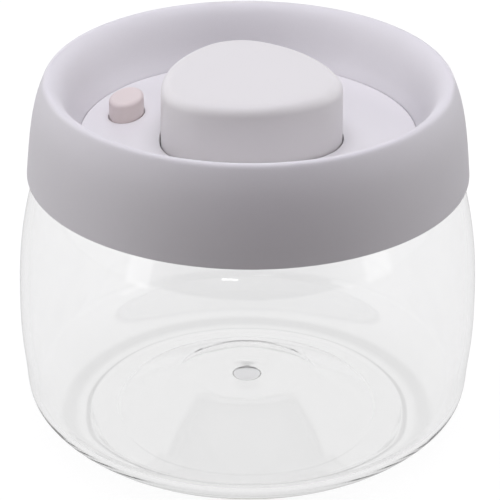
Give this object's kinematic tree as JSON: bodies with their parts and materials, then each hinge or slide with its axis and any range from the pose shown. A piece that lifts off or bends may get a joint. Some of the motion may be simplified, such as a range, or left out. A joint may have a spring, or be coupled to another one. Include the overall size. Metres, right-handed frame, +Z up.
{
  "type": "vacuum seal canister",
  "caption": "Clear round food canister with a push-pump vacuum lid: matt collar, sunken plate, rounded three-sided press knob and small oval air-release button.",
  "frame": {"origin": "centre of the ring that the jar stands on, on the jar's axis at table level", "axes": "+Z up along the jar's axis; +X to the right and -Y towards the viewer, with the release button to the left of the knob"},
  "size_m": [0.1262, 0.1262, 0.104],
  "materials": {
    "jar_plastic": "clear moulded copolyester, glossy",
    "collar_plastic": "light grey, fine matt mould texture",
    "plate_plastic": "white, semi-gloss",
    "knob_plastic": "white, satin",
    "button_plastic": "pale warm grey, satin",
    "base_plastic": "white, moulded",
    "pump_plastic": "natural white, smooth bore",
    "silicone": "translucent grey silicone",
    "felt": "pressed felt",
    "steel": "stainless steel"
  },
  "bodies": {
    "jar": {"jar_body": "jar_plastic"},
    "lid": {"collar": "collar_plastic", "top_plate": "plate_plastic", "lid_base": "base_plastic", "mouth_gasket": "silicone", "pump_cylinder": "pump_plastic", "cylinder_seal": "silicone", "inlet_valve": "silicone", "strainer_cap": "base_plastic", "filter_disc": "felt", "collar_screws": "steel", "pump_spring": "steel", "release_spring": "steel"},
    "knob": {"knob_shell": "knob_plastic", "knob_stop_ring": "base_plastic", "knob_screws": "steel", "piston_rod": "pump_plastic", "piston_head": "pump_plastic", "piston_seal": "silicone", "outlet_valve": "silicone", "piston_screw": "steel"},
    "release": {"release_button": "button_plastic", "release_stem": "steel", "release_seal": "silicone", "release_clip": "steel"}
  },
  "joints": [
    {"name": "lid_lift", "type": "slide", "parent": "jar", "child": "lid", "axis": [0, 0, 1], "range_m": [0, 0.045]},
    {"name": "knob_press", "type": "slide", "parent": "lid", "child": "knob", "axis": [0, 0, -1], "range_m": [0, 0.012], "stiffness_N_per_m": 600, "springref_m": -0.004, "deforming": ["pump_spring"]},
    {"name": "release_press", "type": "slide", "parent": "lid", "child": "release", "axis": [0, 0, -1], "range_m": [0, 0.0025], "stiffness_N_per_m": 400, "springref_m": -0.003, "deforming": ["release_spring"]}
  ]
}
